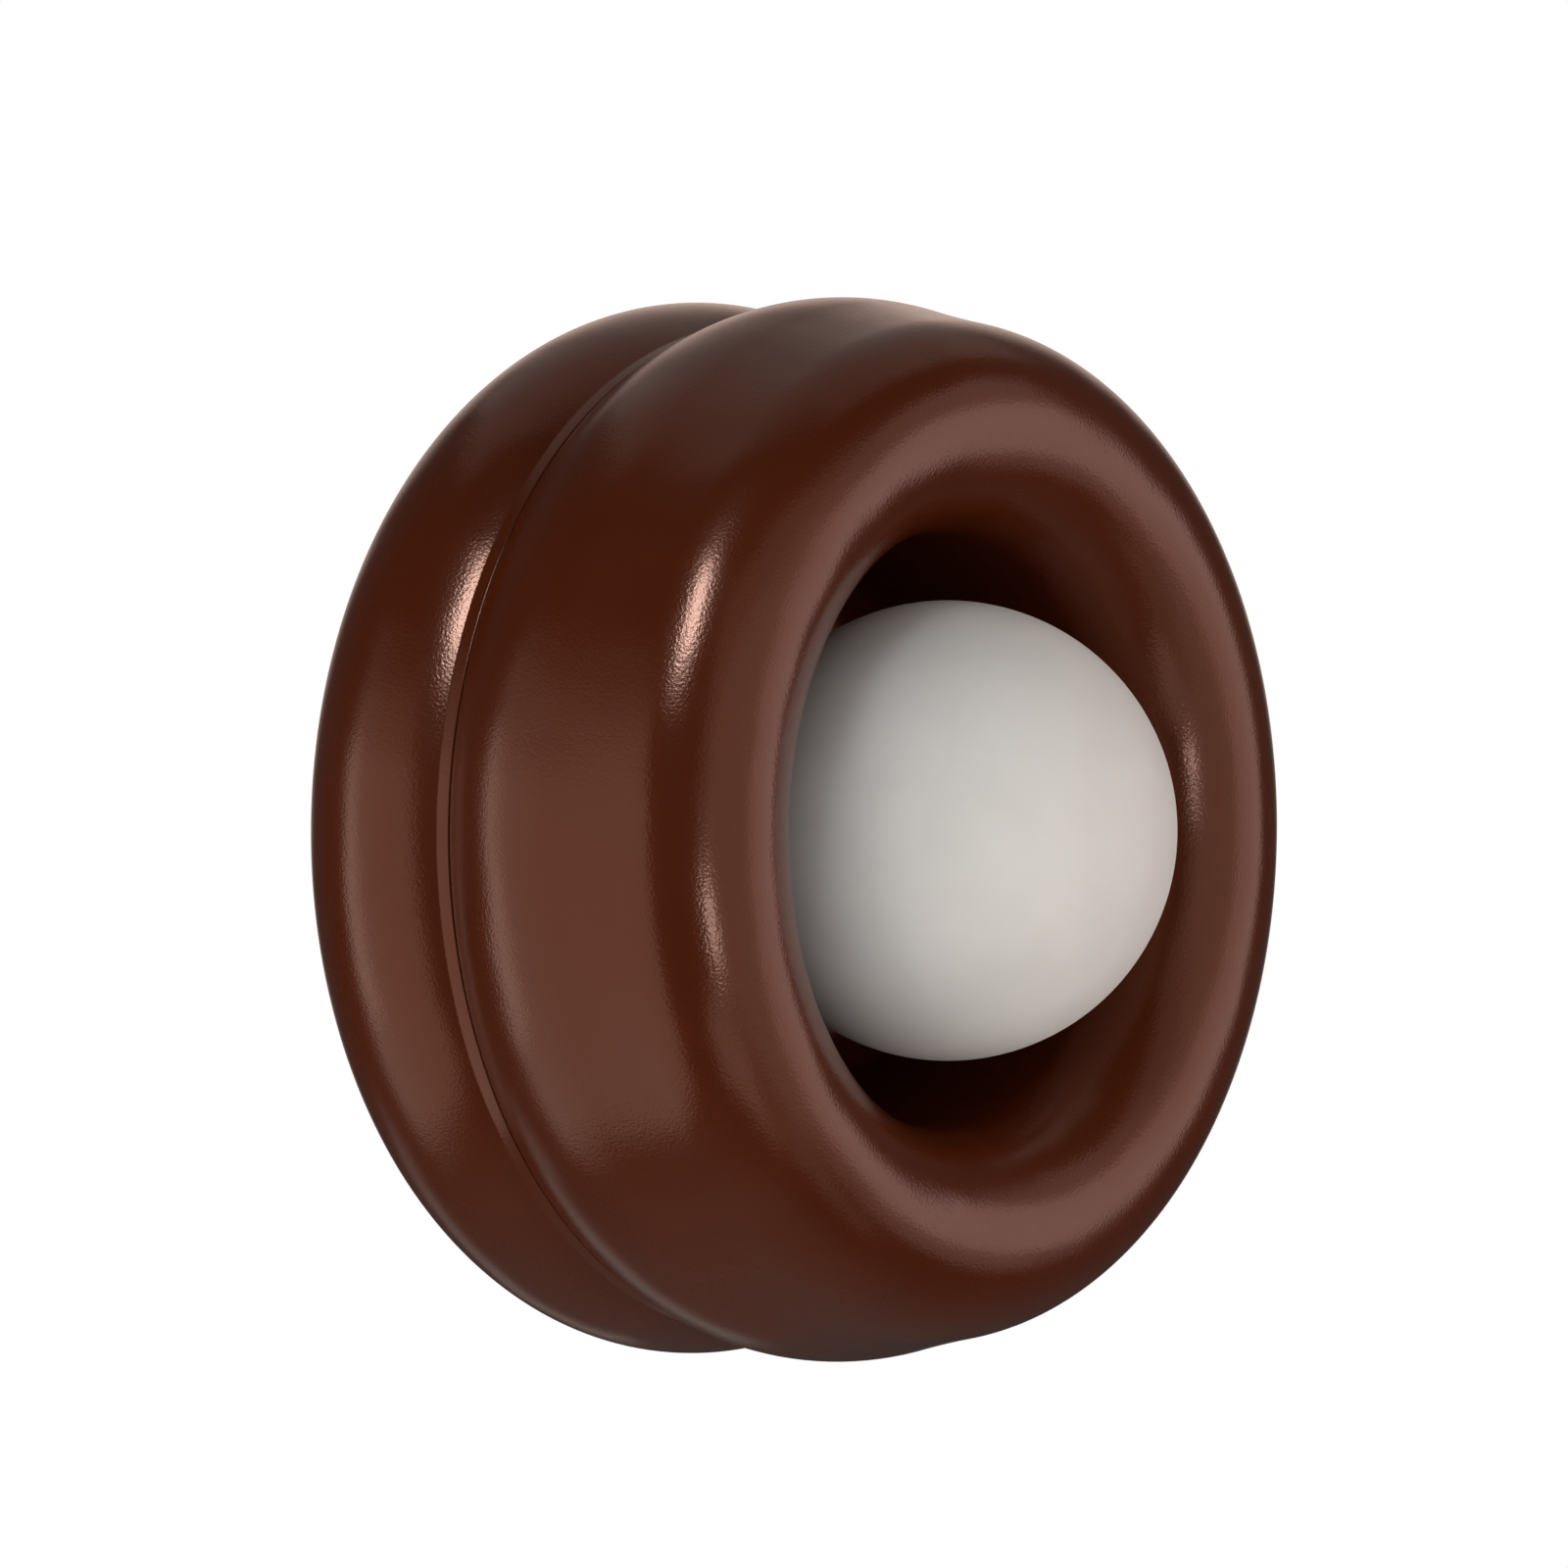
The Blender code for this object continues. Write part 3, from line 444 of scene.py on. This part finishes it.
def make_front_shell():
    """The front ring: well floor and wall, rolled lip, waist, crown, flange inside the seam."""
    well = LIP_CREST[0] - LIP_INNER_ROUND
    lip_in = (LIP_CREST[0], LIP_CREST[1] - LIP_INNER_ROUND)
    lip_out = (LIP_CREST[0], LIP_CREST[1] - LIP_OUTER_ROUND)
    crown = (HOUSING_RADIUS - CROWN_ROUND, FRONT_CREST)
    waist = tangent_centre(crown, CROWN_ROUND + WAIST_ROUND, lip_out, LIP_OUTER_ROUND + WAIST_ROUND)
    hem_rise = FRONT_CREST - FRONT_RIM - HEM
    hem_bearing = -math.degrees(math.asin(hem_rise / (CROWN_ROUND - HEM)))
    hem = polar(crown, CROWN_ROUND - HEM, hem_bearing)
    corner = (well - WELL_ROUND, WELL_FLOOR + WELL_ROUND)

    path = Profile(TUBE_HOLE, WELL_FLOOR)
    for stop in FLOOR_STOPS:
        path.line(TUBE_HOLE + (corner[0] - TUBE_HOLE) * stop, WELL_FLOOR)
    path.arc_to(corner, OUTWARD, WELL_STEPS[OUTSIDE], clockwise=False)
    for stop in WALL_STOPS:
        path.line(well, corner[1] + (lip_in[1] - corner[1]) * stop)
    path.arc_to(lip_in, FORWARD, LIP_INNER_STEPS[OUTSIDE], clockwise=True)
    path.arc_to(lip_out, bearing(lip_out, waist), LIP_OUTER_STEPS[OUTSIDE], clockwise=True)
    path.arc_to(waist, bearing(waist, crown), WAIST_STEPS[OUTSIDE], clockwise=False)
    path.arc_to(crown, hem_bearing, CROWN_STEPS[OUTSIDE], clockwise=True)
    path.arc_to(hem, BACKWARD, HEM_STEPS, clockwise=True)
    path.line(SKIRT_RADIUS - FIT, FRONT_RIM)
    path.line(SKIRT_RADIUS - FIT, FRONT_FLANGE)
    path.line(SEAM_FLANGE_RADIUS, FRONT_FLANGE)

    # back along the inside of the sheet
    path.line(SEAM_FLANGE_RADIUS, FRONT_FLANGE + SHEET)
    path.line(SKIRT_RADIUS - FIT - SHEET, FRONT_FLANGE + SHEET)
    path.line(*polar(crown, CROWN_ROUND - SHEET, hem_bearing))
    path.arc_to(crown, bearing(crown, waist), CROWN_STEPS[INSIDE], clockwise=False)
    path.arc_to(waist, bearing(waist, lip_out), WAIST_STEPS[INSIDE], clockwise=True)
    path.arc_to(lip_out, FORWARD, LIP_OUTER_STEPS[INSIDE], clockwise=False)
    path.arc_to(lip_in, INWARD, LIP_INNER_STEPS[INSIDE], clockwise=False)
    path.line(well + SHEET, corner[1])
    path.arc_to(corner, BACKWARD, WELL_STEPS[INSIDE], clockwise=True)
    path.line(TUBE_HOLE, WELL_FLOOR - SHEET)
    path.close()
    finished("front_shell_spun", path.turned(SHELL_TURNS), "housing", "lacquer", ["front_shell"])


def make_rear_shell():
    """The rear ring: skirt and neck at the seam, bulge, and the flange that drops over the hoop."""
    bulge = (HOUSING_RADIUS - REAR_FRONT_ROUND, REAR_CREST)
    back = (HOUSING_RADIUS - REAR_BACK_ROUND, REAR_CREST)
    crease_radius = REAR_NECK[0] + REAR_NECK_ROUND
    reach = REAR_FRONT_ROUND + REAR_NECK_ROUND
    crease = (crease_radius, REAR_CREST + math.sqrt(reach ** 2 - (crease_radius - bulge[0]) ** 2))

    path = Profile(SEAM_FLANGE_RADIUS, REAR_FLANGE)
    path.line(SKIRT_RADIUS, REAR_FLANGE)
    path.line(SKIRT_RADIUS, REAR_RIM - HEM)
    path.line(SKIRT_RADIUS + HEM, REAR_RIM)
    path.line(REAR_NECK[1] - HEM, REAR_RIM)
    path.arc_to((REAR_NECK[1] - HEM, REAR_RIM - HEM), OUTWARD, HEM_STEPS, clockwise=True)
    path.line(REAR_NECK[0], crease[1])
    path.arc_to(crease, bearing(crease, bulge), CREASE_STEPS, clockwise=False)
    path.arc_to(bulge, OUTWARD, BULGE_STEPS[OUTSIDE], clockwise=True)
    path.arc_to(back, BACKWARD, BACK_STEPS[OUTSIDE], clockwise=True)
    path.line(BACK_FLANGE_RADIUS, REAR_BACK)

    # back along the inside of the sheet
    path.line(BACK_FLANGE_RADIUS, REAR_BACK + SHEET)
    path.line(back[0], REAR_BACK + SHEET)
    path.arc_to(back, OUTWARD, BACK_STEPS[INSIDE], clockwise=False)
    rise = REAR_FLANGE - SHEET - REAR_CREST
    meeting = math.degrees(math.asin(rise / (REAR_FRONT_ROUND - SHEET)))
    path.arc_to(bulge, meeting, BULGE_STEPS[INSIDE], clockwise=False)
    path.line(SEAM_FLANGE_RADIUS, REAR_FLANGE - SHEET)
    path.close()
    finished("rear_shell_spun", path.turned(SHELL_TURNS), "housing", "lacquer", ["rear_shell"])


def make_globe():
    """The opal bowl, open at its ground rim."""
    centre = (0.0, GLOBE_CENTRE)
    inside = GLOBE_RADIUS - GLASS
    bore = NECK_RADIUS - GLASS
    rim = -math.degrees(math.acos(NECK_RADIUS / GLOBE_RADIUS))
    path = Profile(0.0, GLOBE_CENTRE + GLOBE_RADIUS)
    path.arc_to(centre, rim, GLOBE_STEPS[OUTSIDE], clockwise=True)
    path.line(bore, NECK_TOP)
    path.line(bore, GLOBE_CENTRE - math.sqrt(inside ** 2 - bore ** 2))
    path.arc_to(centre, FORWARD, GLOBE_STEPS[INSIDE], clockwise=False)
    finished("globe_blown", path.turned(GLOBE_TURNS), "globe", "opal_glass", ["globe"])


def add_thread(form):
    """A rolled thread round the collar, one ridge that climbs a pitch each turn."""
    root = NECK_RADIUS - THREAD_ROOT
    start = NECK_END + (NECK_TOP - NECK_END - THREAD_PITCH * THREAD_TURNS) / 2.0
    ridge = ((root, start - THREAD_HALF_WIDTH), (NECK_RADIUS + THREAD_HEIGHT, start),
             (root, start + THREAD_HALF_WIDTH))
    section = [form.verts.new((radius, -depth, 0.0)) for radius, depth in ridge]
    edges = [form.edges.new(pair) for pair in zip(section, section[1:] + section[:1])]
    wound = bmesh.ops.spin(form, geom=section + edges, cent=ORIGIN, axis=LAMP_AXIS,
                           dvec=(0.0, -THREAD_PITCH / THREAD_STEPS, 0.0),
                           angle=math.tau * THREAD_TURNS, steps=int(THREAD_STEPS * THREAD_TURNS))
    last = of_kind(wound["geom_last"], bmesh.types.BMEdge)
    bmesh.ops.holes_fill(form, edges=edges + last, sides=len(section))
    bmesh.ops.recalc_face_normals(form, faces=form.faces)


def make_collar():
    """The collar bonded to the globe's rim."""
    bore = NECK_RADIUS - GLASS
    top = NECK_TOP - FIT
    path = Profile(bore, top)
    path.line(NECK_RADIUS, top)
    path.line(NECK_RADIUS, NECK_END + HEM)
    path.line(NECK_RADIUS - HEM, NECK_END)
    path.line(bore, NECK_END)
    path.close()
    form = path.turned(GLOBE_TURNS)
    add_thread(form)
    finished("globe_collar_threaded", form, "globe", "zinc", ["globe_collar"])


def make_seal():
    """The soft ring under the globe's shoulder, round at all four edges."""
    bore, outer, bottom, top = SEAL
    path = Profile(bore, top - SEAL_ROUND)
    path.arc((bore + SEAL_ROUND, top - SEAL_ROUND), -QUARTER, SEAL_STEPS)
    path.line(outer - SEAL_ROUND, top)
    path.arc((outer - SEAL_ROUND, top - SEAL_ROUND), -QUARTER, SEAL_STEPS)
    path.line(outer, bottom + SEAL_ROUND)
    path.arc((outer - SEAL_ROUND, bottom + SEAL_ROUND), -QUARTER, SEAL_STEPS)
    path.line(bore + SEAL_ROUND, bottom)
    path.arc((bore + SEAL_ROUND, bottom + SEAL_ROUND), -QUARTER, SEAL_STEPS)
    path.close()
    finished("seal_ring_moulded", path.turned(GLOBE_TURNS), "seal", "silicone", ["seal_ring"])


def make_gallery():
    """The gallery: a pressed cup with a round rim and a round corner under it."""
    half = (GALLERY_RADIUS - GALLERY_BORE) / 2.0
    corner = (GALLERY_RADIUS - GALLERY_CORNER, GALLERY_BOTTOM + GALLERY_CORNER)
    path = Profile(TUBE_HOLE, GALLERY_TOP)
    path.line(GALLERY_BORE - half, GALLERY_TOP)
    path.arc((GALLERY_BORE - half, GALLERY_TOP + half), QUARTER, CUP_STEPS)
    path.line(GALLERY_BORE, GALLERY_RIM - half)
    path.arc((GALLERY_BORE + half, GALLERY_RIM - half), -HALF, CUP_RIM_STEPS)
    path.line(GALLERY_RADIUS, corner[1])
    path.arc(corner, -QUARTER, CUP_CORNER_STEPS)
    path.line(TUBE_HOLE, GALLERY_BOTTOM)
    path.close()
    finished("gallery_cup_pressed", path.turned(GLOBE_TURNS), "housing", "gallery_paint",
             ["gallery_cup"])


def circle_outline(form, x, z, radius, turns):
    """A round edge in the wall plane."""
    made = bmesh.ops.create_circle(form, radius=radius, segments=turns)
    bmesh.ops.rotate(form, verts=made["verts"], cent=ORIGIN, matrix=WALL_PLANE)
    bmesh.ops.translate(form, verts=made["verts"], vec=(x, 0.0, z))


def slot_outline(form, x):
    """A round-ended upright slot's edge in the wall plane."""
    half = SLOT_WIDTH / 2.0
    straight = (SLOT_LENGTH - SLOT_WIDTH) / 2.0
    first = form.verts.new((x - half, 0.0, straight))
    tip = first
    for side in (1.0, -1.0):
        drawn = bmesh.ops.spin(form, geom=[tip], cent=(x, 0.0, side * straight), axis=LAMP_AXIS,
                               angle=math.pi, steps=SLOT_END_STEPS)
        tip = of_kind(drawn["geom_last"], bmesh.types.BMVert)[0]
        if side > 0.0:
            tip = bmesh.ops.extrude_vert_indiv(form, verts=[tip])["verts"][0]
            tip.co = (x + half, 0.0, -straight)
    form.edges.new((tip, first))


def make_back_plate():
    """The wall plate: a blank with slots and holes, drawn to its thickness, edges broken."""
    form = bmesh.new()
    circle_outline(form, 0.0, 0.0, PLATE_RADIUS, PLATE_TURNS)
    for hole in (CABLE_HOLE, *SCREW_HOLES):
        circle_outline(form, *hole, HOLE_TURNS)
    for x in (-SLOT_OFFSET, SLOT_OFFSET):
        slot_outline(form, x)
    bmesh.ops.triangle_fill(form, use_beauty=True, edges=form.edges[:])
    drawn = bmesh.ops.extrude_face_region(form, geom=form.faces[:], use_keep_orig=True)
    front = of_kind(drawn["geom"], bmesh.types.BMVert)
    bmesh.ops.translate(form, verts=front, vec=(0.0, -PLATE_THICKNESS, 0.0))
    bmesh.ops.recalc_face_normals(form, faces=form.faces)
    form.normal_update()
    rims = [edge for edge in form.edges
            if edge.is_manifold and edge.calc_face_angle() > math.radians(RIM_ANGLE)]
    bmesh.ops.bevel(form, geom=rims, offset=PLATE_EDGE, affect='EDGES', segments=PLATE_EDGE_STEPS,
                    profile=ROUND_PROFILE, material=-1)
    finished("back_plate_punched", form, "housing", "zinc", ["back_plate"],
             sharp=PLATE_CRISP_ANGLE)


def make_grommet():
    """The cable's grommet: a plain waist in the plate's hole and a round lip over its front."""
    bottom, top = GROMMET_LIP
    half = (top - bottom) / 2.0
    path = Profile(GROMMET_BORE, top - half)
    path.arc((GROMMET_BORE + half, top - half), -QUARTER, GROMMET_BORE_STEPS)
    path.line(GROMMET_FLARE - half, top)
    path.arc((GROMMET_FLARE - half, top - half), -HALF, GROMMET_FLARE_STEPS)
    path.line(GROMMET_WAIST, bottom)
    path.line(GROMMET_WAIST, FIT + HEM)
    path.line(GROMMET_WAIST - HEM, FIT)
    path.line(GROMMET_BORE + HEM, FIT)
    path.line(GROMMET_BORE, FIT + HEM)
    path.close()
    form = path.turned(GROMMET_TURNS)
    bmesh.ops.translate(form, verts=form.verts, vec=(CABLE_HOLE[0], 0.0, CABLE_HOLE[1]))
    finished("cable_grommet_moulded", form, "housing", "rubber", ["cable_grommet"])


make_front_shell()
make_rear_shell()
make_globe()
make_collar()
make_seal()
make_gallery()
make_back_plate()
make_grommet()


# Studio

def toward(azimuth, elevation):
    """The direction of a place in the studio, from straight ahead of the wall, right positive."""
    a, e = math.radians(azimuth), math.radians(elevation)
    return Vector((math.sin(a) * math.cos(e), -math.cos(a) * math.cos(e), math.sin(e)))


def span(degrees):
    """The length that covers an angle at a panel's distance."""
    return 2.0 * PANEL_DISTANCE * math.tan(math.radians(degrees / 2.0))


def soft_panel(name, azimuth, elevation, wide, high, radiance, colour):
    """A soft box that covers the given angles as seen from the lamp."""
    light = bpy.data.lights.new(name, 'AREA')
    light.shape = 'RECTANGLE'
    light.size = span(wide)
    light.size_y = span(high)
    light.energy = radiance * math.pi * span(wide) * span(high)
    light.color = colour
    panel = add_object(name, light)
    look(panel, AIM + PANEL_DISTANCE * toward(azimuth, elevation), AIM)
    panel.visible_camera = False
    panel.visible_glossy = name not in DIFFUSE_ONLY
    panel.visible_diffuse = name not in MIRRORED_ONLY


def make_world():
    """A dim room to light by, with a backdrop: white to the camera, warm in reflections."""
    world = bpy.data.worlds.new("studio")
    world.use_nodes = True
    nodes, links = world.node_tree.nodes, world.node_tree.links
    rays = nodes.new('ShaderNodeLightPath').outputs
    room = nodes["Background"]
    set_inputs(room, {"Color": ROOM_COLOUR, "Strength": ROOM_STRENGTH})
    backdrop = nodes.new('ShaderNodeBackground')
    backdrop.inputs["Strength"].default_value = 1.0
    tone = nodes.new('ShaderNodeMix')
    tone.data_type = 'RGBA'
    set_inputs(tone, {"A": BACKDROP_WHITE, "B": BACKDROP_TONE})
    links.new(rays["Is Glossy Ray"], tone.inputs["Factor"])
    links.new(tone.outputs["Result"], backdrop.inputs["Color"])

    # reflections see it only behind the lamp and above, fading out at its edge
    where = nodes.new('ShaderNodeTexCoord')
    facing = nodes.new('ShaderNodeVectorMath')
    facing.operation = 'DOT_PRODUCT'
    facing.inputs[1].default_value = (CAMERA_TARGET - CAMERA_PLACE + BACKDROP_RISE).normalized()
    behind = nodes.new('ShaderNodeMapRange')
    behind.inputs["From Min"].default_value = BACKDROP_EDGE
    links.new(where.outputs["Generated"], facing.inputs[0])
    links.new(facing.outputs["Value"], behind.inputs["Value"])
    mirrored = math_node(nodes, links, 'MULTIPLY', rays["Is Glossy Ray"], behind.outputs["Result"])
    seen = math_node(nodes, links, 'MAXIMUM', rays["Is Camera Ray"], rays["Is Transmission Ray"])
    shown = math_node(nodes, links, 'MAXIMUM', seen, mirrored)
    show_mix(nodes, links, shown, room.outputs["Background"], backdrop.outputs["Background"],
             nodes["World Output"])
    bpy.context.scene.world = world


def make_floor():
    """Pale studio floor, well below the lamp, white to the camera."""
    material, nodes, links = new_material("pale_floor")
    shader = nodes["Principled BSDF"]
    set_inputs(shader, {"Base Color": FLOOR_COLOUR, "Roughness": FLOOR_ROUGHNESS,
                        "Specular IOR Level": 0.0})
    white = nodes.new('ShaderNodeEmission')
    rays = nodes.new('ShaderNodeLightPath').outputs
    show_mix(nodes, links, rays["Is Camera Ray"], shader.outputs["BSDF"], white.outputs["Emission"],
             nodes["Material Output"])
    form = bmesh.new()
    bmesh.ops.create_grid(form, x_segments=1, y_segments=1, size=FLOOR_SIZE / 2.0)
    bmesh.ops.translate(form, verts=form.verts, vec=(0.0, 0.0, -FLOOR_DROP))
    floor = add_mesh("studio_floor", form, material)


def make_camera():
    """The camera of the photograph."""
    lens = bpy.data.cameras.new("photo_camera")
    lens.sensor_width = SENSOR_WIDTH
    lens.lens = CAMERA_LENS
    camera = add_object("photo_camera", lens)
    look(camera, CAMERA_PLACE, CAMERA_TARGET)
    bpy.context.scene.camera = camera


for panel_name, panel_values in PANELS.items():
    soft_panel(panel_name, *panel_values)
make_world()
make_floor()
make_camera()
bpy.context.scene.view_settings.view_transform = 'Standard'
